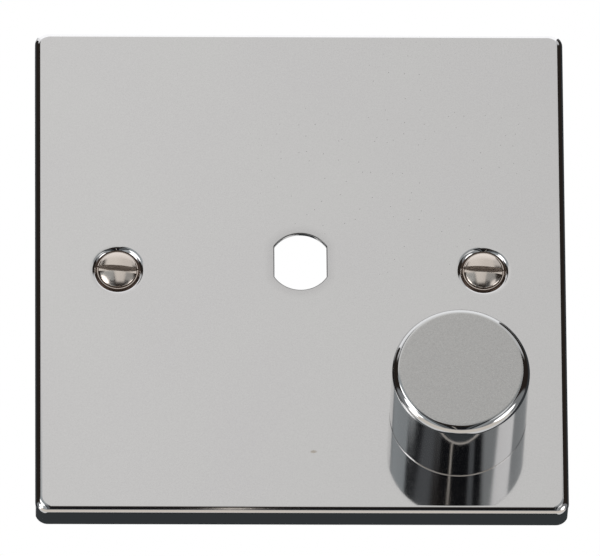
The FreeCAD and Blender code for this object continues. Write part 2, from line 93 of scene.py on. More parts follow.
# Fixing screws
HEAD_RADIUS = 3.5 * MM
HEAD_LAND = 0.25 * MM
HEAD_CHAMFER = 0.1 * MM
HEAD_CHAMFER_DROP = 0.02 * MM
DOME_RADIUS = 3.1 * MM
DOME_RISE = 0.6 * MM
DOME_STEP = 0.35 * MM  # the dome's own edge, above the head's rim
DOME_STEP_EDGE = 0.06 * MM
DOME_STEP_EDGE_DROP = 0.08 * MM
DOME_STEP_SPREAD = 0.04 * MM
NECK_RADIUS = 1.55 * MM
NECK_LENGTH = 1.2 * MM
NECK_SHOULDER = 0.1 * MM
SHANK_RADIUS = 1.75 * MM
SHANK_LEAD = 0.4 * MM  # from the neck to the thread's first turn
SLOT_WIDTH = 1.05 * MM
SLOT_DEPTH = 1.2 * MM
SLOT_TURN = {"left": -4.5, "right": -3.5}

# All screws
POINT_CHAMFER = 0.5 * MM
SLOT_OVERRUN = 2  # half a slot cutter's length, in head radii
SLOT_OVERCUT = 3  # a slot cutter's height, in slot depths
THREAD_PITCH = 0.6 * MM
THREAD_DEPTH = 0.33 * MM
THREAD_RUN_OUT = 0.7  # turns over which a thread rises at each end
THREAD_LEAST = 0.02  # share of its height that a thread starts with
THREAD_ROOT_HALF = 0.46 * THREAD_PITCH
THREAD_CREST_HALF = 0.08 * THREAD_PITCH
THREAD_BURIED = 0.03 * MM

# Knob
KNOB_WALL = 1.0 * MM
KNOB_EDGE_RADIUS = 1.5 * MM
KNOB_FOOT_RADIUS = 0.35 * MM

# Earth clamp screw, which points along +Y
CLAMP_HEAD_HEIGHT = 2.2 * MM
CLAMP_HEAD_EDGE = 0.8 * MM
CLAMP_SHANK_RADIUS = 1.75 * MM
CLAMP_SHANK_LEAD = 0.3 * MM
CLAMP_SLOT_WIDTH = 1.0 * MM
CLAMP_SLOT_DEPTH = 1.1 * MM

# How finely round stretches are divided
BEND_STEPS = 20
INNER_BEND_STEPS = 8
RIM_STEPS = 4
HOLE_EDGE_STEPS = 6
CORNER_STEPS = 20
HOLE_STEPS = 2 * CORNER_STEPS
DIMPLE_STEPS = 128
KNOB_STEPS = 192
KNOB_TOP_RINGS = 10
KNOB_FOOT_STEPS = 10
SCREW_STEPS = 96
THREAD_STEPS = 40
SHARP_ANGLE = math.radians(32)
SAME_SPOT = 1e-6  # millimetres within which two points of a flat are one


# Mesh tools

class Skin:
    """The points and faces of one piece, gathered loop by loop."""

    def __init__(self):
        self.points = []
        self.faces = []

    def loop(self, points):
        """Adds points and gives back their numbers."""
        start = len(self.points)
        self.points.extend(Vector(point) for point in points)
        return list(range(start, len(self.points)))

    def bridge(self, first, second):
        """A band of faces between two closed loops of the same count."""
        for index, corner in enumerate(first):
            after = (index + 1) % len(first)
            self.faces.append((corner, first[after], second[after], second[index]))

    def tube(self, loops):
        """Bands between each loop and the next."""
        for first, second in zip(loops, loops[1:]):
            self.bridge(first, second)

    def cap(self, loop):
        """One face that closes a loop."""
        self.faces.append(tuple(loop))

    def turned(self, centre, profile, steps):
        """A surface turned about an upright line, from a profile of radius and height."""
        rings = []
        for radius, height in profile:
            if radius == 0:
                rings.append(self.loop([(centre[0], centre[1], height)]) * steps)
                continue
            turns = [2 * math.pi * step / steps for step in range(steps)]
            rings.append(self.loop(
                (centre[0] + radius * math.cos(turn), centre[1] + radius * math.sin(turn), height)
                for turn in turns
            ))
        self.tube(rings)
        return rings

    def sheet(self, loops, is_cut):
        """Fills the flat between loops with triangles, leaving out those that a test cuts."""
        numbers = [number for loop in loops for number in loop]
        place = {number: index for index, number in enumerate(numbers)}
        flat = [Vector((self.points[n].x / MM, self.points[n].y / MM)) for n in numbers]
        edges = [
            (place[number], place[loop[(index + 1) % len(loop)]])
            for loop in loops
            for index, number in enumerate(loop)
        ]
        found = geometry.delaunay_2d_cdt(flat, edges, [], 0, SAME_SPOT)
        origin = [sources[0] for sources in found[3]]
        for face in found[2]:
            middle = sum((found[0][corner] for corner in face), Vector((0, 0))) / len(face) * MM
            if not is_cut(middle):
                self.faces.append(tuple(numbers[origin[corner]] for corner in face))

    def piece(self, name):
        """The finished piece, smooth but for its sharp edges."""
        mesh = bpy.data.meshes.new(name)
        shape = bmesh.new()
        corners = [shape.verts.new(point) for point in self.points]
        for face in self.faces:
            kept = list(dict.fromkeys(face))
            if len(kept) > 2:
                shape.faces.new([corners[number] for number in kept])
        bmesh.ops.delete(shape, geom=[v for v in shape.verts if not v.link_faces], context="VERTS")
        bmesh.ops.recalc_face_normals(shape, faces=shape.faces)
        shape.to_mesh(mesh)
        shape.free()
        made = bpy.data.objects.new(name, mesh)
        bpy.context.scene.collection.objects.link(made)
        smooth(mesh)
        return made


def smooth(mesh):
    """Smooth shading that stops at sharp edges."""
    mesh.shade_smooth()
    mesh.set_sharp_from_angle(angle=SHARP_ANGLE)


def arc(centre, radius, start, end, steps=BEND_STEPS):
    """Points on an arc in a profile, with its angles in degrees."""
    turns = [math.radians(start + (end - start) * step / steps) for step in range(steps + 1)]
    return [(centre[0] + radius * math.cos(turn), centre[1] + radius * math.sin(turn)) for turn in turns]


def middle_of(low, high):
    """The middle of a box."""
    return (low + high) / 2


def cut_away(piece, cutter):
    """Takes one piece's shape out of another for good."""
    cut = piece.modifiers.new("cut", "BOOLEAN")
    cut.operation = "DIFFERENCE"
    cut.solver = "EXACT"
    cut.object = cutter
    bpy.context.view_layer.update()
    graph = bpy.context.evaluated_depsgraph_get()
    mesh = bpy.data.meshes.new_from_object(piece.evaluated_get(graph))
    piece.modifiers.clear()
    piece.data = mesh
    bpy.data.objects.remove(cutter)
    smooth(mesh)


def join(piece, extra):
    """Adds one piece's mesh to another's."""
    shape = bmesh.new()
    shape.from_mesh(piece.data)
    shape.from_mesh(extra.data)
    shape.to_mesh(piece.data)
    shape.free()
    bpy.data.objects.remove(extra)
    smooth(piece.data)


def slot_cutter(head_radius, width, depth, floor_height, turn):
    """A bar that cuts a screwdriver slot, longer than the head and with its top well above it."""
    half = Vector((SLOT_OVERRUN * head_radius, width / 2))
    corners = [(half.x, half.y), (-half.x, half.y), (-half.x, -half.y), (half.x, -half.y)]
    skin = Skin()
    foot, top = [
        skin.loop((x, y, height) for x, y in corners) for height in (0, SLOT_OVERCUT * depth)
    ]
    skin.bridge(foot, top)
    skin.cap(foot)
    skin.cap(top)
    made = skin.piece("slot_cutter")
    place = Matrix.Translation((0, 0, floor_height))
    made.data.transform(place @ Matrix.Rotation(math.radians(turn), 4, "Z"))
    return made


def thread(core, crest, top, bottom):
    """A raised helical thread about Z, fading out at both ends."""
    count = round((top - bottom) / THREAD_PITCH * THREAD_STEPS)
    fade = THREAD_STEPS * THREAD_RUN_OUT
    buried = core - THREAD_BURIED
    skin = Skin()
    sections = []
    for step in range(count + 1):
        turn = 2 * math.pi * step / THREAD_STEPS
        height = top - THREAD_PITCH * step / THREAD_STEPS
        raised = min(1, step / fade, (count - step) / fade)
        radius = buried + (crest - buried) * max(raised, THREAD_LEAST)
        section = [
            (buried, height + THREAD_ROOT_HALF),
            (radius, height + THREAD_CREST_HALF),
            (radius, height - THREAD_CREST_HALF),
            (buried, height - THREAD_ROOT_HALF),
        ]
        sections.append(skin.loop((r * math.cos(turn), r * math.sin(turn), z) for r, z in section))
    skin.tube(sections)
    skin.cap(sections[0])
    skin.cap(sections[-1])
    return skin.piece("thread")


# Pressed plate

def plate_loop(skin, inset, height, radius):
    """The plate's outline, moved in by an inset, with its corners' own radius."""
    half = Vector((PLATE_HIGH.x - inset - radius, PLATE_HIGH.y - inset - radius))
    points = []
    for turn, (x, y) in enumerate([(1, 1), (-1, 1), (-1, -1), (1, -1)]):
        middle = (half.x * x, half.y * y)
        points += arc(middle, radius, 90 * turn, 90 * (turn + 1), CORNER_STEPS)
    return skin.loop((x, y, height) for x, y in points)


def outside_corner(inset):
    """The corners' radius on the outside, which changes from the wall to the flat."""
    return CORNER_RADIUS + (FLAT_CORNER_RADIUS - CORNER_RADIUS) * inset / EDGE_RADIUS


def rolled_edge(skin):
    """Loops from the face over the rolled edge, round the back rim and up to the underside."""
    inner_radius = EDGE_RADIUS - SHEET
    outside = [(EDGE_RADIUS + EASE, FACE)]
    outside += arc((EDGE_RADIUS, FACE - EDGE_RADIUS), EDGE_RADIUS, 90, 180)
    outside += [(0, FACE - EDGE_RADIUS - EASE)]
    inside = [(0, RIM_RADIUS + EASE)]
    inside += arc((RIM_RADIUS, RIM_RADIUS), RIM_RADIUS, 180, 270, RIM_STEPS)
    inside += arc((SHEET - RIM_RADIUS, RIM_RADIUS), RIM_RADIUS, 270, 360, RIM_STEPS)
    inside += [(SHEET, RIM_RADIUS + EASE), (SHEET, UNDERSIDE - inner_radius - EASE)]
    bend_centre = (SHEET + inner_radius, UNDERSIDE - inner_radius)
    inside += arc(bend_centre, inner_radius, 180, 90, INNER_BEND_STEPS)
    inside += [(SHEET + inner_radius + EASE, UNDERSIDE)]
    loops = [plate_loop(skin, inset, height, outside_corner(inset)) for inset, height in outside]
    loops += [plate_loop(skin, inset, height, CORNER_RADIUS - inset) for inset, height in inside]
    skin.tube(loops)
    return loops


def dimple_profile():
    """A dimple from the face to the underside: both ends are bends between the flat and a cone."""
    tangent = math.tan(math.radians(CONE_TURN / 2))
    lip = DIMPLE_MOUTH + DIMPLE_LIP_RADIUS * tangent
    cone_foot = FACE - (DIMPLE_MOUTH - SCREW_HOLE)
    dimple_floor = cone_foot - DIMPLE_LAND
    back_mouth = DIMPLE_MOUTH + SHEET * math.sqrt(2)
    back_foot = back_mouth - (FACE - dimple_floor)
    root = back_mouth - SHEET + DIMPLE_ROOT_RADIUS * tangent
    profile = [(lip + EASE, FACE)]
    profile += arc((lip, FACE - DIMPLE_LIP_RADIUS), DIMPLE_LIP_RADIUS, 90, 90 + CONE_TURN)
    profile += [(SCREW_HOLE, cone_foot), (SCREW_HOLE, dimple_floor), (back_foot, dimple_floor)]
    profile += arc((root, UNDERSIDE - DIMPLE_ROOT_RADIUS), DIMPLE_ROOT_RADIUS, 90 + CONE_TURN, 90)
    profile += [(root + EASE, UNDERSIDE)]
    return profile


def hole_loop(skin, offset, height):
    """The double-D outline, moved out by an offset."""
    radius = HOLE_RADIUS + offset
    corner = math.degrees(math.acos((HOLE_HALF_FLATS + offset) / radius))
    points = arc(HOLE_CENTRE, radius, corner, 180 - corner, HOLE_STEPS)
    points += arc(HOLE_CENTRE, radius, 180 + corner, 360 - corner, HOLE_STEPS)
    return skin.loop((x, y, height) for x, y in points)


def dip(offset):
    """How far the face lies below its level at a distance from the hole."""
    share = max(0, 1 - offset / PUNCH_DIP_WIDTH)
    return PUNCH_DIP * share**2


def punched_hole(skin):
    """Loops from the hole's back edge up its wall and out over the dipped face."""
    edge = arc((HOLE_EDGE_RADIUS, -HOLE_EDGE_RADIUS), HOLE_EDGE_RADIUS, 180, 90, HOLE_EDGE_STEPS)
    wall = [(0, UNDERSIDE)] + [(offset, FACE - dip(offset) + drop) for offset, drop in edge]
    shares = [step / PUNCH_DIP_STEPS for step in range(PUNCH_DIP_STEPS + 1)]
    skirt = [
        HOLE_EDGE_RADIUS + EASE + PUNCH_DIP_WIDTH * share**PUNCH_DIP_CROWDING for share in shares
    ]
    loops = [hole_loop(skin, offset, height) for offset, height in wall]
    loops += [hole_loop(skin, offset, FACE - dip(offset)) for offset in skirt]
    skin.tube(loops)
    return loops


def in_hole(spot, margin):
    """Is a spot inside the double-D outline?"""
    inside = abs(spot.x) < HOLE_HALF_FLATS + margin
    return inside and (spot - HOLE_CENTRE).length < HOLE_RADIUS + margin


def pressed_plate():
    """One sheet: rolled edges, countersunk dimples and the punched double-D hole."""
    skin = Skin()
    edge = rolled_edge(skin)
    profile = dimple_profile()
    middles = [middle_of(low, high).xy for low, high in SCREWS.values()]
    dimples = [skin.turned(middle, profile, DIMPLE_STEPS) for middle in middles]
    hole = punched_hole(skin)

    def is_cut(spot, hole_margin, dimple_radius):
        in_dimple = any((spot - middle).length < dimple_radius for middle in middles)
        return in_dimple or in_hole(spot, hole_margin)

    skin.sheet(
        [edge[0], hole[-1]] + [rings[0] for rings in dimples],
        lambda spot: is_cut(spot, SKIRT_REACH, profile[0][0]),
    )
    skin.sheet(
        [edge[-1], hole[0]] + [rings[-1] for rings in dimples],
        lambda spot: is_cut(spot, 0, profile[-1][0]),
    )
    return skin.piece("pressed_plate")


# Fixing screws

def dome_profile(radius, rise, rim):
    """A dome from its top down to its rim."""
    sphere = (radius**2 + rise**2) / (2 * rise)
    spread = math.degrees(math.asin(radius / sphere))
    profile = arc((0, rim + rise - sphere), sphere, 90, 90 - spread)
    profile[0] = (0, profile[0][1])
    return profile


def fixing_screw(side):
    """A raised countersunk slotted screw with a machine thread."""
    low, high = SCREWS[side]
    rim = high.z - DOME_RISE
    core = SHANK_RADIUS - THREAD_DEPTH
    neck_top = rim - HEAD_LAND - (HEAD_RADIUS - NECK_RADIUS)
    neck_foot = neck_top - NECK_LENGTH
    step_foot = DOME_RADIUS + DOME_STEP_EDGE
    profile = dome_profile(DOME_RADIUS, DOME_RISE, rim + DOME_STEP)
    profile += [(step_foot, rim + DOME_STEP - DOME_STEP_EDGE_DROP), (step_foot + DOME_STEP_SPREAD, rim)]
    profile += [(HEAD_RADIUS - HEAD_CHAMFER, rim - HEAD_CHAMFER_DROP), (HEAD_RADIUS, rim - HEAD_LAND)]
    profile += [(NECK_RADIUS, neck_top), (NECK_RADIUS, neck_foot)]
    profile += [(core, neck_foot - NECK_SHOULDER), (core, low.z + POINT_CHAMFER)]
    profile += [(core - POINT_CHAMFER, low.z), (0, low.z)]
    skin = Skin()
    skin.turned((0, 0), profile, SCREW_STEPS)
    made = skin.piece(f"{side}_fixing_screw")
    slot_floor = high.z + DOME_STEP - SLOT_DEPTH
    cut_away(made, slot_cutter(HEAD_RADIUS, SLOT_WIDTH, SLOT_DEPTH, slot_floor, SLOT_TURN[side]))
    join(made, thread(core, SHANK_RADIUS, neck_foot - SHANK_LEAD, low.z + POINT_CHAMFER))
    made.data.transform(Matrix.Translation((*middle_of(low, high).xy, 0)))
    return made


# Knob

def knob_shell():
    """The knob's plated cup."""
    outer = (KNOB_HIGH.x - KNOB_LOW.x) / 2
    inner = outer - KNOB_WALL
    top = KNOB_HIGH.z
    foot = KNOB_LOW.z
    roof = top - KNOB_WALL
    flat = outer - KNOB_EDGE_RADIUS - EASE
    edge_centre = (outer - KNOB_EDGE_RADIUS, top - KNOB_EDGE_RADIUS)
    foot_centre = (outer - KNOB_FOOT_RADIUS, foot + KNOB_FOOT_RADIUS)
    profile = [(flat * ring / KNOB_TOP_RINGS, top) for ring in range(KNOB_TOP_RINGS + 1)]
    profile += arc(edge_centre, KNOB_EDGE_RADIUS, 90, 0)
    profile += [(outer, top - KNOB_EDGE_RADIUS - EASE), (outer, foot + KNOB_FOOT_RADIUS + EASE)]
    profile += arc(foot_centre, KNOB_FOOT_RADIUS, 0, -90, KNOB_FOOT_STEPS)
    profile += [(inner, foot), (inner, roof), (0, roof)]
    skin = Skin()
    skin.turned(middle_of(KNOB_LOW, KNOB_HIGH), profile, KNOB_STEPS)
    return skin.piece("knob_shell")


# Earth clamp screw

def clamp_screw():
    """A slotted pan-head screw, made upright and then laid along +Y."""
    point = CLAMP_LOW.y - CLAMP_HIGH.y
    head_radius = (CLAMP_HIGH.x - CLAMP_LOW.x) / 2
    core = CLAMP_SHANK_RADIUS - THREAD_DEPTH
    seat = -CLAMP_HEAD_HEIGHT
    profile = [(0, 0), (head_radius - CLAMP_HEAD_EDGE - EASE, 0)]
    profile += arc((head_radius - CLAMP_HEAD_EDGE, -CLAMP_HEAD_EDGE), CLAMP_HEAD_EDGE, 90, 0)
    profile += [(head_radius, seat), (core, seat), (core, point + POINT_CHAMFER)]
    profile += [(core - POINT_CHAMFER, point), (0, point)]
    skin = Skin()
    skin.turned((0, 0), profile, SCREW_STEPS)
    made = skin.piece("clamp_screw")
    cut_away(made, slot_cutter(head_radius, CLAMP_SLOT_WIDTH, CLAMP_SLOT_DEPTH, -CLAMP_SLOT_DEPTH, 0))
    join(made, thread(core, CLAMP_SHANK_RADIUS, seat - CLAMP_SHANK_LEAD, point + POINT_CHAMFER))
    middle = middle_of(CLAMP_LOW, CLAMP_HIGH)
    place = Matrix.Translation((middle.x, CLAMP_LOW.y, middle.z))
    made.data.transform(place @ Matrix.Rotation(math.pi / 2, 4, "X"))
    return made


# Shader tools

class Wire:
    """A node's output that takes part in Python sums."""

    def __init__(self, graph, output):
        self.graph = graph
        self.output = output

    def is_colour(self):
        """Does it carry a colour or a vector, rather than one value?"""
        return self.output.type in ("RGBA", "VECTOR")

    def other(self, name):
        """Another output of the same node."""
        return Wire(self.graph, self.output.node.outputs[name])

    def __add__(self, other):
        return self.graph.sum("ADD", self, other)

    def __radd__(self, other):
        return self.graph.sum("ADD", other, self)

    def __sub__(self, other):
        return self.graph.sum("SUBTRACT", self, other)

    def __rsub__(self, other):
        return self.graph.sum("SUBTRACT", other, self)

    def __mul__(self, other):
        return self.graph.sum("MULTIPLY", self, other)

    def __rmul__(self, other):
        return self.graph.sum("MULTIPLY", other, self)

    def __truediv__(self, other):
        return self.graph.sum("DIVIDE", self, other)


class Graph:
    """The nodes of one material or of the world."""

    def __init__(self, tree):
        self.tree = tree
        tree.nodes.clear()

    def node(self, kind, settings=None, sockets=None, output=0):
        """Any node: its settings are set first, then its sockets get their values or links."""
        made = self.tree.nodes.new(kind)
        for name, value in (settings or {}).items():
            if name == "stops":
                self.set_stops(made.color_ramp.elements, value)
            else:
                setattr(made, name, value)
        for name, value in (sockets or {}).items():
            if isinstance(value, Wire):
                self.tree.links.new(value.output, made.inputs[name])
            else:
                made.inputs[name].default_value = value
        return Wire(self, made.outputs[output]) if made.outputs else made

    def set_stops(self, elements, stops):
        """Gives a ramp its stops, each a place from 0 to 1 and a colour."""
        while len(elements) < len(stops):
            elements.new(1)
        for element, (place, colour) in zip(elements, stops):
            element.position = place
            element.color = rgba(colour)

    def sum(self, operation, first, second):
        """One step of a sum, on values or on colours."""
        colours = [
            x.is_colour() if isinstance(x, Wire) else isinstance(x, (tuple, Vector))
            for x in (first, second)
        ]
        if not any(colours):
            return self.node("ShaderNodeMath", {"operation": operation}, {0: first, 1: second})
        if all(colours):
            return self.node("ShaderNodeVectorMath", {"operation": operation}, {0: first, 1: second})
        colour, amount = (first, second) if colours[0] else (second, first)
        return self.node("ShaderNodeVectorMath", {"operation": "SCALE"}, {0: colour, "Scale": amount})

    def split(self, vector):
        """A vector's three parts."""
        first = self.node("ShaderNodeSeparateXYZ", None, {0: vector})
        return [first.other(name) for name in ("X", "Y", "Z")]

    def absolute(self, value):
        """A value without its sign."""
        return self.node("ShaderNodeMath", {"operation": "ABSOLUTE"}, {0: value})

    def larger(self, first, second):
        """The larger of two values."""
        return self.node("ShaderNodeMath", {"operation": "MAXIMUM"}, {0: first, 1: second})

    def ease(self, value, low, high):
        """Smoothly from 0 to 1 as a value goes from low to high."""
        return self.node(
            "ShaderNodeMapRange",
            {"interpolation_type": "SMOOTHSTEP"},
            {"Value": value, "From Min": low, "From Max": high},
        )

    def dot(self, first, second):
        """How far two directions agree."""
        settings = {"operation": "DOT_PRODUCT"}
        return self.node("ShaderNodeVectorMath", settings, {0: first, 1: second}, "Value")

    def length(self, x, y):
        """The length of a level line with these two parts."""
        flat = self.node("ShaderNodeCombineXYZ", None, {0: x, 1: y, 2: 0.0})
        return self.node("ShaderNodeVectorMath", {"operation": "LENGTH"}, {0: flat}, "Value")

    def distance(self, place, spot):
        """How far a place lies from an upright line through a spot."""
        x, y, _ = self.split(place)
        return self.length(x - spot[0], y - spot[1])

    def mix(self, share, first, second):
        """Between two colours."""
        return self.node(
            "ShaderNodeMix", {"data_type": "RGBA"}, {0: share, 6: rgba(first), 7: rgba(second)}, 2
        )

    def noise(self, place, scale, detail=2.0, roughness=0.5):
        """A soft random value, with its scale as cells for each metre."""
        return self.node(
            "ShaderNodeTexNoise",
            None,
            {"Vector": place, "Scale": scale, "Detail": detail, "Roughness": roughness},
        )

    def bump(self, height, strength, distance):
        """A surface's direction as a height roughens it."""
        return self.node(
            "ShaderNodeBump", None, {"Height": height, "Strength": strength, "Distance": distance}
        )

    def place(self):
        """A point's place on the object, in metres."""
        return self.node("ShaderNodeTexCoord", None, None, "Object")

    def upright(self):
        """How far a surface faces up: 1 on a level face, 0 on a wall, -1 on an underside."""
        return self.split(self.node("ShaderNodeNewGeometry", None, None, "Normal"))[2]

    def seen(self):
        """1 for a ray that shows the surface itself, to the eye, in metal or through glass."""
        eye = self.node("ShaderNodeLightPath", None, None, "Is Camera Ray")
        return eye + eye.other("Is Glossy Ray") + eye.other("Is Transmission Ray")


def rgba(colour):
    """A colour for a socket: a wire as it is, or three numbers made four."""
    return colour if isinstance(colour, Wire) else (*colour, 1)


def new_material(name):
    """An empty material and its nodes."""
    material = bpy.data.materials.new(name)
    material.use_nodes = True
    return material, Graph(material.node_tree)


def surface(graph, shader):
    """Makes a shader the material's surface."""
    graph.node("ShaderNodeOutputMaterial", None, {"Surface": shader})


# Finishes. A scale is in cells for each metre, and a pair of numbers is where an ease starts and ends.
METAL_DRIFT_SCALE = 60
METAL_GRAIN_SCALE = 900
METAL_BUMP_DEPTH = 0.02 * MM

# Plate: bloom and grain of the chrome
BLOOM_SCALE = 60
BLOOM_WARM = Vector((1.004, 0.992, 1.006))
BLOOM_COOL = Vector((1.000, 1.000, 0.994))
GRAIN_SCALE = 4000
GRAIN_SPREAD = 0.05

# Plate: pin-point pits, in clusters, in one zone
PIT_SCALE = 380
PIT_RADIUS = 0.065 * MM
PIT_EDGE = (1.4 * PIT_RADIUS, 0.6 * PIT_RADIUS)
PIT_CHANCE = (0.30, 0.35)
PIT_CLUSTER_SCALE = 60
PIT_CLUSTER = (0.42, 0.55)
PIT_ZONE = Vector((16, 20)) * MM
PIT_ZONE_EDGE = (30 * MM, 15 * MM)
PIT_SHADE = 0.45

# Plate: a small stain
STAIN = (0.40, 0.37, 0.33)
STAIN_CENTRE = Vector((1.9, -32.9)) * MM
STAIN_HALF = Vector((0.7, 0.35)) * MM
STAIN_EDGE = (1.5, 0.5)

# Plate: painted shade and more haze next to the punched hole, a painted dark line along its edge, and
# the back
HALO = (1.9 * MM, 0.0)
# painted shade: how far the face is darkened next to the hole, standing in for the shade of the punch's
# dip
HALO_PAINTED_SHADE = 0.90
HALO_HAZE = 0.05
# Painted shade: a dark line along the hole's edge on the face, standing in for the edge's shade
EDGE_SHADE_REACH = (0.2 * MM, 0.1 * MM)
EDGE_SHADE_TILT = (0.2, 0.6)
EDGE_PAINTED_SHADE = 0.25
BACK_TILT = (-0.4, -0.8)
BACK_SHADE = 0.85
BACK_HAZE = 0.25

# Knob's top face
SATIN_START = (KNOB_HIGH.z - 0.06 * MM, KNOB_HIGH.z - 0.01 * MM)
SATIN_SCALE = 3600
SATIN_DARK = (0.34, 0.335, 0.33)
SATIN_LIGHT = (0.50, 0.495, 0.485)
SATIN_HAZE = 0.2

# Fixing screws: cut flanks, and a rim darkened by tarnish and painted shade, with a ring left plain on
# it
FLANK_TILT = (0.25, 0.10)
FLANK_HAZE = 0.35
# Tarnish colour that also paints the shade in the recess round the dome
TARNISH_AND_SHADE = (0.10, 0.07, 0.055)
RING_INNER = 3.24 * MM
RING_OUTER = 3.34 * MM
RING_FADE = 0.03 * MM

# Plastic
PLASTIC_GRAIN_SCALE = 2500
PLASTIC_DRIFT_SCALE = 90
PLASTIC_GAIN = 1.5
PLASTIC_LIFT = 0.004
PLASTIC_HAZE = 0.15
PLASTIC_BUMP = 0.35
PLASTIC_BUMP_DEPTH = 0.03 * MM


def metal(name, colour, spread, roughness, haze, grain_scale=METAL_GRAIN_SCALE, bump=0.0, detail=None):
    """A plated or bare metal: its colour and gloss drift a little over the surface.

    A piece's own detail function gets the graph, a point's place, the colour and the roughness, and
    gives the last two back changed.
    """
    material, graph = new_material(name)
    place = graph.place()
    drift = graph.noise(place, METAL_DRIFT_SCALE, detail=3.0)
    grain = graph.noise(place, grain_scale, detail=4.0, roughness=0.7)
    dark = tuple(channel * (1 - spread) for channel in colour)
    light = tuple(channel * (1 + spread) for channel in colour)
    tint = graph.mix(drift * 0.5 + grain * 0.5, dark, light)
    gloss = roughness + haze * grain
    if detail:
        tint, gloss = detail(graph, place, tint, gloss)
    sockets = {"Metallic": 1.0, "Base Color": tint, "Roughness": gloss}
    if bump:
        sockets["Normal"] = graph.bump(grain, bump, METAL_BUMP_DEPTH)
    surface(graph, graph.node("ShaderNodeBsdfPrincipled", None, sockets))
    return material


def bloom(graph, place, tint):
    """A faint drift in the chrome's hue, and the finest grain of its polish."""
    drift = graph.noise(place, BLOOM_SCALE)
    grain = graph.noise(place, GRAIN_SCALE, detail=1.0)
    hue = graph.mix(drift, tint * BLOOM_WARM, tint * BLOOM_COOL)
    return graph.mix(grain, hue * (1 - GRAIN_SPREAD), hue * (1 + GRAIN_SPREAD))


def pits(graph, place):
    """How far a point lies in one of the chrome's pin-point pits, which come in clusters."""
    cells = graph.node(
        "ShaderNodeTexVoronoi",
        {"voronoi_dimensions": "2D"},
        {"Vector": place, "Scale": PIT_SCALE},
        "Distance",
    )
    chance, _, _ = graph.split(cells.other("Color"))
    pit = graph.ease(cells / PIT_SCALE, *PIT_EDGE)
    cluster = graph.ease(graph.noise(place, PIT_CLUSTER_SCALE, detail=1.0), *PIT_CLUSTER)
    zone = graph.ease(graph.distance(place, PIT_ZONE), *PIT_ZONE_EDGE)
    return pit * cluster * zone * graph.ease(chance, *PIT_CHANCE)


def stain(graph, place):
    """How far a point lies in the small stain below the hole."""
    x, y, _ = graph.split(place)
    u = (x - STAIN_CENTRE.x) / STAIN_HALF.x
    v = (y - STAIN_CENTRE.y) / STAIN_HALF.y
    ragged = graph.noise(place, GRAIN_SCALE / 2)
    return graph.ease(u * u + v * v + ragged, *STAIN_EDGE)


def plate_wear_and_shade(graph, place, tint, gloss):
    """The plate's chrome is duller next to the punched hole, where painted shade darkens it and a
    painted dark line runs along the hole's edge; it is thin and matt on its back.
    """
    tint = bloom(graph, place, tint)
    tint = graph.mix(pits(graph, place), tint, tint * PIT_SHADE)
    tint = graph.mix(stain(graph, place), tint, STAIN)
    upright = graph.upright()
    back = graph.ease(upright, *BACK_TILT)
    x, _, _ = graph.split(place)
    from_flats = graph.absolute(x) - HOLE_HALF_FLATS
    from_round = graph.distance(place, HOLE_CENTRE) - HOLE_RADIUS
    reach = graph.larger(from_flats, from_round)
    halo_shade_and_haze = graph.ease(reach, *HALO)
    painted_edge_shade = graph.ease(reach, *EDGE_SHADE_REACH) * graph.ease(upright, *EDGE_SHADE_TILT)
    # Painted shade next to the punched hole.
    tint = graph.mix(halo_shade_and_haze, tint, tint * HALO_PAINTED_SHADE)
    # Painted dark line along the hole's edge, standing in for its shade.
    tint = graph.mix(painted_edge_shade, tint, tint * EDGE_PAINTED_SHADE)
    return graph.mix(back, tint, tint * BACK_SHADE), gloss + HALO_HAZE * halo_shade_and_haze + BACK_HAZE * back


def satin_top(graph, place, tint, gloss):
    """The knob's top face is finely turned, so that it is satin and shows a fine grain."""
    _, _, z = graph.split(place)
    top = graph.ease(z, *SATIN_START)
    speckle = graph.noise(place, SATIN_SCALE, roughness=0.8)
    satin = graph.mix(speckle, SATIN_DARK, SATIN_LIGHT)
    return graph.mix(top, tint, satin), gloss + SATIN_HAZE * top


def worn_and_shaded_head(graph, place, tint, gloss):
    """The slot's flanks and the thread are cut, not polished, and the dome's step is darkened, as
    tarnish and as painted shade in the recess, all but one plain ring.
    """
    upright = graph.upright()
    flank = graph.ease(upright * upright, *FLANK_TILT)
    x, y, _ = graph.split(place)
    radius = graph.length(graph.absolute(x) - SCREW_SPACING / 2, y)
    ring = graph.ease(radius, RING_INNER, RING_INNER + RING_FADE)
    ring = ring * graph.ease(radius, RING_OUTER + RING_FADE, RING_OUTER)
    # Tarnish and painted shade round the dome, but not on the ring.
    tarnish_and_shade = graph.ease(radius, DOME_RADIUS, DOME_RADIUS + RING_FADE) * (1 - ring)
    return graph.mix(tarnish_and_shade, tint, TARNISH_AND_SHADE), gloss + FLANK_HAZE * flank


def plastic(name, colour, roughness):
    """A moulded plastic with a fine spark-eroded texture."""
    material, graph = new_material(name)
    place = graph.place()
    grain = graph.noise(place, PLASTIC_GRAIN_SCALE, detail=3.0, roughness=0.6)
    drift = graph.noise(place, PLASTIC_DRIFT_SCALE)
    light = tuple(channel * PLASTIC_GAIN + PLASTIC_LIFT for channel in colour)
    sockets = {
        "Base Color": graph.mix(drift, colour, light),
        "Roughness": roughness + PLASTIC_HAZE * grain,
        "Normal": graph.bump(grain, PLASTIC_BUMP, PLASTIC_BUMP_DEPTH),
    }
    surface(graph, graph.node("ShaderNodeBsdfPrincipled", None, sockets))
    return material


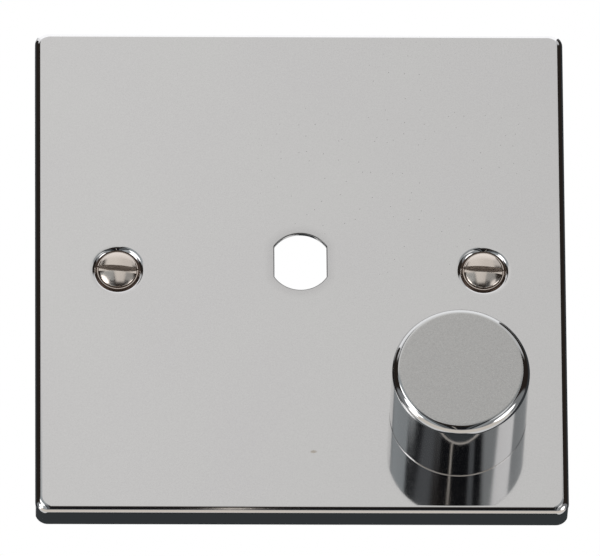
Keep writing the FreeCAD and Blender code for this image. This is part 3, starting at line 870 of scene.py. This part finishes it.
# Studio: a pale floor, and panels round the part that only show in its gloss
WHITE = (1, 1, 1)
PALE = (0.85, 0.85, 0.85)
DARK = (0.030, 0.024, 0.020)
INK = (0.010, 0.011, 0.013)
SHADE = (0.16, 0.17, 0.18)
DIM = (0.50, 0.54, 0.56)
PATCH = (0.44, 0.46, 0.47)
DAYLIGHT = (1.69, 1.71, 1.73)
SOUTH_GLOW = (0.95, 0.88, 0.80)
LAMP = (3.2, 3.2, 3.2)
EAST_LAMP = (1.35, 1.35, 1.35)
FLAG = (0.050, 0.056, 0.060)
GREY_ROOM = (0.30, 0.31, 0.32)
NORTH_SKY = (0.80, 0.81, 0.82)
SOFT_LIGHT = 0.8

FLOOR = -0.20
FLOOR_HALF = 6.0

# Dark flags that lie on the floor, each between two corners
FLAG_HEIGHT = FLOOR + 0.01
FLAGS = {
    "south_flag": ((-0.12, -0.80), (0.12, -0.095)),
    "hole_flag": ((-0.085, -0.105), (0.012, -0.014)),
    "west_flag": ((-1.5, -0.25), (-0.10, 0.80)),
    "east_flag": ((0.10, -0.25), (1.5, 0.80)),
}

# Upright panels in the north: their two ends, their place and their two heights
NORTH_WALL = ((-0.13, 0.095), 0.128, (FLOOR, 0.098))
NORTH_STRIP = ((-0.0440, 0.0436), 0.0440, (0.0034, 0.0066))
WALL_FOOT = (0.75, 0.76, 0.77)
WALL_LOW = (1.35, 1.36, 1.38)
WALL_HIGH = (1.10, 1.11, 1.12)
WALL_FOOT_END = (-0.04, 0.0)
WALL_HIGH_START = (0.05, 0.098)

# Ceiling in the north half of the overhead panel
OVERHEAD_LOW = (-0.30, -0.45)
OVERHEAD_HIGH = (0.21, 0.90)
OVERHEAD_HEIGHT = 0.33
CEILING_LEVEL = 0.96
CEILING_FALL = 0.1
CEILING_FALL_RUN = (-0.06, 0.09)
CEILING_RISE = 0.2
CEILING_TINT = Vector((1, 1, 0.99))
CEILING_WEST_END = (-0.20, -0.24)

# Dark stand in its south half, with lighter bands from west to east
STAND_BANDS = [
    (-0.142, DIM), (-0.134, INK), (-0.124, INK), (-0.114, SHADE), (-0.062, SHADE), (-0.050, INK),
    (-0.010, INK), (-0.007, SOUTH_GLOW), (-0.004, SOUTH_GLOW), (-0.001, INK),
    (0.074, INK), (0.080, SHADE), (0.096, SHADE), (0.102, INK), (0.125, INK), (0.140, PATCH),
]
STAND_FRONT = (-0.18, -0.15)
STAND_FRONT_WEST = (-0.09, -0.06)
STAND_FRONT_EAST = (0.09, 0.06)
STAND_BACK = (-0.03, -0.01)
STAND_BACK_WEST = (-0.04, -0.10)
STAND_BACK_EAST = (0.05, 0.09)

# Border between the two halves, which swings north at both sides
BORDER = -0.05
BORDER_BLUR = 0.02
BORDER_WEST = 0.17
BORDER_WEST_RUN = (-0.042, -0.078)
BORDER_EAST = 0.16
BORDER_EAST_RUN = (0.055, 0.090)

# Oval lamps in the overhead panel: middle, half length, half width, turn in degrees and colour
OVAL_EDGE = (1.3, 0.7)
OVAL_LAMPS = [
    ((-0.225, -0.01), 0.10, 0.05, -49, LAMP),
    ((-0.30, -0.12), 0.06, 0.06, 0, LAMP),
    ((0.205, -0.03), 0.09, 0.04, 41, EAST_LAMP),
]

# Tent round everything, coloured by direction. A lamp has a direction and two angles, in degrees,
# from its full light to none.
TENT_RADIUS = 1.2
TENT_BANDS = 24
TENT_STEPS = 64
SIDE_BAR_START = (0.02, 0.12)
SIDE_BAR_END = (2.4, 2.2)
SIDE_BAR_INNER = (0.25, 0.35)
SKY_NORTH = (0.50, 0.60)
SKY_FOOT = (0.30, 0.38)
GLOW_SOUTH = (-0.35, -0.5)
GLOW_TOP = (0.53, 0.47)
TENT_LAMPS = [
    ((0.76, -0.41, 0.50), 12, 16),
    ((-0.75, -0.33, 0.57), 12, 16),
    ((-0.865, -0.48, 0.13), 6, 10),
]


def emission(name, colour):
    """A material that only shines, in one colour or in one that a function gives for a place."""
    material, graph = new_material(name)
    if callable(colour):
        colour = colour(graph, graph.node("ShaderNodeNewGeometry", None, None, "Position"))
    surface(graph, graph.node("ShaderNodeEmission", None, {"Color": rgba(colour), "Strength": 1.0}))
    return material


def hang(skin, name, material):
    """Hangs a studio panel, which is seen in reflections only."""
    made = skin.piece(name)
    made.data.materials.append(material)
    made.visible_camera = False
    made.visible_diffuse = False
    made.visible_shadow = False
    made.visible_transmission = False


def level_corners(low, high, height):
    """The corners of a level panel."""
    spots = [(low[0], low[1]), (high[0], low[1]), (high[0], high[1]), (low[0], high[1])]
    return [(x, y, height) for x, y in spots]


def level_panel(name, low, high, height, material):
    """A level panel between two corners."""
    skin = Skin()
    skin.cap(skin.loop(level_corners(low, high, height)))
    hang(skin, name, material)


def upright_panel(name, ends, north, heights, material):
    """An upright panel along X, between two ends and two heights."""
    (west, east), (foot, top) = ends, heights
    spots = [(west, foot), (east, foot), (east, top), (west, top)]
    skin = Skin()
    skin.cap(skin.loop((x, north, z) for x, z in spots))
    hang(skin, name, material)


def soft_oval(graph, x, y, centre, long_half, short_half, turn):
    """A soft-edged oval on a panel, turned by an angle in degrees."""
    along = math.radians(turn)
    east = x - centre[0]
    north = y - centre[1]
    u = (east * math.cos(along) + north * math.sin(along)) / long_half
    v = (north * math.cos(along) - east * math.sin(along)) / short_half
    return graph.ease(u * u + v * v, *OVAL_EDGE)


def ceiling_colour(graph, x, y):
    """The lit ceiling, a little brighter in the west and north, and dark at its west end."""
    level = CEILING_LEVEL - CEILING_FALL * graph.ease(x, *CEILING_FALL_RUN) + CEILING_RISE * y
    return graph.mix(graph.ease(x, *CEILING_WEST_END), level * CEILING_TINT, DARK)


def stand_colour(graph, x, y):
    """The dark stand that the view comes from, with bands that the knob shows as upright stripes."""
    west, east = OVERHEAD_LOW[0], OVERHEAD_HIGH[0]
    stops = [((spot - west) / (east - west), colour) for spot, colour in STAND_BANDS]
    colour = graph.node("ShaderNodeValToRGB", {"stops": stops}, {0: (x - west) / (east - west)})
    front = graph.ease(y, *STAND_FRONT)
    front = front * graph.ease(x, *STAND_FRONT_WEST) * graph.ease(x, *STAND_FRONT_EAST)
    colour = graph.mix(front, colour, DARK)
    back = graph.ease(y, *STAND_BACK)
    colour = graph.mix(back * graph.ease(x, *STAND_BACK_WEST), colour, DIM)
    return graph.mix(back * graph.ease(x, *STAND_BACK_EAST), colour, PATCH)


def overhead_colour(graph, place):
    """The ceiling to the north, the dark stand to the south, and oval lamps over both."""
    x, y, _ = graph.split(place)
    swing_west = BORDER_WEST * graph.ease(x, *BORDER_WEST_RUN)
    swing_east = BORDER_EAST * graph.ease(x, *BORDER_EAST_RUN)
    past = graph.ease(y - (swing_west + swing_east + BORDER), -BORDER_BLUR, BORDER_BLUR)
    colour = graph.mix(past, stand_colour(graph, x, y), ceiling_colour(graph, x, y))
    for centre, long_half, short_half, turn, shine in OVAL_LAMPS:
        colour = graph.mix(soft_oval(graph, x, y, centre, long_half, short_half, turn), colour, shine)
    return colour


def wall_colour(graph, place):
    """The north wall, brightest a little above the plate."""
    _, _, z = graph.split(place)
    upper = graph.mix(graph.ease(z, *WALL_HIGH_START), WALL_LOW, WALL_HIGH)
    return graph.mix(graph.ease(z, *WALL_FOOT_END), WALL_FOOT, upper)


def tent_colour(graph, place):
    """The grey room round the part: dark at both sides, lit high in the north and low in the south."""
    way = graph.node("ShaderNodeVectorMath", {"operation": "NORMALIZE"}, {0: place})
    x, y, z = graph.split(way)
    side = graph.absolute(x)
    slope = y / side
    bars = graph.ease(slope, *SIDE_BAR_START) * graph.ease(slope, *SIDE_BAR_END)
    bars = bars * graph.ease(side, *SIDE_BAR_INNER)
    sky = graph.ease(y, *SKY_NORTH) * graph.ease(z, *SKY_FOOT)
    glow = graph.ease(y, *GLOW_SOUTH) * graph.ease(z, *GLOW_TOP)
    colour = graph.mix(sky, graph.mix(bars, GREY_ROOM, DARK), NORTH_SKY)
    colour = graph.mix(glow, colour, SOUTH_GLOW)
    for direction, inner, outer in TENT_LAMPS:
        reach = graph.dot(way, Vector(direction).normalized())
        lit = graph.ease(reach, math.cos(math.radians(outer)), math.cos(math.radians(inner)))
        colour = graph.mix(lit, colour, LAMP)
    return colour


def tent():
    """A dome round the part that ends at the flags on the floor."""
    foot = math.degrees(math.asin(FLAG_HEIGHT / TENT_RADIUS))
    profile = arc((0, 0), TENT_RADIUS, foot, 90, TENT_BANDS)
    profile[-1] = (0, TENT_RADIUS)
    skin = Skin()
    skin.turned((0, 0), profile, TENT_STEPS)
    hang(skin, "tent", emission("tent_light", tent_colour))


def floor():
    """A plain pale floor, well below the object. From below it is clear, so that the back shows."""
    material, graph = new_material("pale_floor")
    matt = graph.node("ShaderNodeBsdfDiffuse", None, {"Color": rgba(PALE)})
    white = graph.node("ShaderNodeEmission", None, {"Color": rgba(WHITE), "Strength": 1.0})
    pale = graph.node("ShaderNodeMixShader", None, {0: graph.seen(), 1: matt, 2: white})
    below = graph.node("ShaderNodeNewGeometry", None, None, "Backfacing")
    clear = graph.node("ShaderNodeBsdfTransparent")
    surface(graph, graph.node("ShaderNodeMixShader", None, {0: below, 1: pale, 2: clear}))
    skin = Skin()
    skin.cap(skin.loop(level_corners((-FLOOR_HALF, -FLOOR_HALF), (FLOOR_HALF, FLOOR_HALF), FLOOR)))
    made = skin.piece("floor")
    made.data.materials.append(material)


def world():
    """White wherever it is seen, also in metal, and a plain soft light for the rest."""
    made = bpy.data.worlds.new("studio_white")
    bpy.context.scene.world = made
    made.use_nodes = True
    graph = Graph(made.node_tree)
    soft = graph.node("ShaderNodeBackground", None, {"Color": rgba(WHITE), "Strength": SOFT_LIGHT})
    white = graph.node("ShaderNodeBackground", None, {"Color": rgba(WHITE), "Strength": 1.0})
    mixed = graph.node("ShaderNodeMixShader", None, {0: graph.seen(), 1: soft, 2: white})
    graph.node("ShaderNodeOutputWorld", None, {"Surface": mixed})


# Camera

PHOTO_SIZE = Vector((600, 556))
PHOTO_ORIGIN = Vector((299.88, 283.68))  # where the frame's origin falls in the photo, in pixels
PHOTO_SCALE = 6.059 / MM  # pixels for each metre at the origin
VIEW_DISTANCE = 3.0
VIEW_TILT = math.radians(25.3)
VIEW_TURN = math.radians(3.0)
VIEW_ROLL = math.radians(-0.435)
SENSOR = 36.0


def camera():
    """A long lens at the photo's angle, with the origin at its place in the photo."""
    back = Vector((
        -math.sin(VIEW_TURN) * math.sin(VIEW_TILT),
        -math.cos(VIEW_TURN) * math.sin(VIEW_TILT),
        math.cos(VIEW_TILT),
    ))
    level_right = Vector((0, 1, 0)).cross(back).normalized()
    level_up = back.cross(level_right)
    right = level_right * math.cos(VIEW_ROLL) + level_up * math.sin(VIEW_ROLL)
    up = level_up * math.cos(VIEW_ROLL) - level_right * math.sin(VIEW_ROLL)
    aside = (PHOTO_SIZE / 2 - PHOTO_ORIGIN) / PHOTO_SCALE
    spot = back * VIEW_DISTANCE + right * aside.x - up * aside.y
    lens = bpy.data.cameras.new("photo_view")
    lens.sensor_width = SENSOR
    lens.lens = PHOTO_SCALE * VIEW_DISTANCE * SENSOR / PHOTO_SIZE.x
    made = bpy.data.objects.new("photo_view", lens)
    made.matrix_world = Matrix.Translation(spot) @ Matrix((right, up, back)).transposed().to_4x4()
    bpy.context.scene.collection.objects.link(made)
    bpy.context.scene.camera = made


# The part in its studio

def dress(piece, node, material):
    """Puts a new piece in a node's stead."""
    piece.data.materials.clear()
    piece.data.materials.append(material)
    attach(piece, "root")
    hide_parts(node)


def recoat(node, material):
    """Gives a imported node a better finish."""
    for slot in frame["nodes"][node].material_slots:
        slot.material = material


bpy.context.scene.view_settings.view_transform = "Standard"
camera()
world()
floor()
tent()
overhead_light = emission("overhead_light", overhead_colour)
level_panel("overhead", OVERHEAD_LOW, OVERHEAD_HIGH, OVERHEAD_HEIGHT, overhead_light)
upright_panel("north_wall", *NORTH_WALL, emission("wall_light", wall_colour))
upright_panel("north_strip", *NORTH_STRIP, emission("north_light", DAYLIGHT))
flag_shade = emission("flag_shade", FLAG)
for flag, (flag_low, flag_high) in FLAGS.items():
    level_panel(flag, flag_low, flag_high, FLAG_HEIGHT, flag_shade)

chrome = metal(
    "plate_chrome", (0.56, 0.556, 0.554), spread=0.03, roughness=0.04, haze=0.05, detail=plate_wear_and_shade
)
knob_chrome = metal(
    "knob_chrome", (0.53, 0.53, 0.53), spread=0.03, roughness=0.04, haze=0.05,
    grain_scale=2600, detail=satin_top,
)
nickel = metal(
    "screw_nickel", (0.555, 0.50, 0.455), spread=0.08, roughness=0.10, haze=0.10,
    grain_scale=1800, detail=worn_and_shaded_head,
)
zinc = metal(
    "earth_zinc", (0.55, 0.56, 0.58), spread=0.10, roughness=0.22, haze=0.15, grain_scale=500, bump=0.15
)
brass = metal("earth_brass", (0.72, 0.55, 0.27), spread=0.06, roughness=0.16, haze=0.12)
spring_steel = metal("spring_steel", (0.42, 0.42, 0.43), spread=0.06, roughness=0.2, haze=0.1)
black_plastic = plastic("insert_plastic", (0.03, 0.03, 0.032), roughness=0.42)

dress(pressed_plate(), "front_plate", chrome)
for side in SCREWS:
    dress(fixing_screw(side), f"fixing_screw_{side}", nickel)
dress(knob_shell(), "knob_cap", knob_chrome)
dress(clamp_screw(), "earth_screw", brass)
recoat("knob_insert", black_plastic)
recoat("knob_spring", spring_steel)
recoat("earth_bracket", zinc)
recoat("earth_saddle", zinc)

bpy.context.view_layer.update()
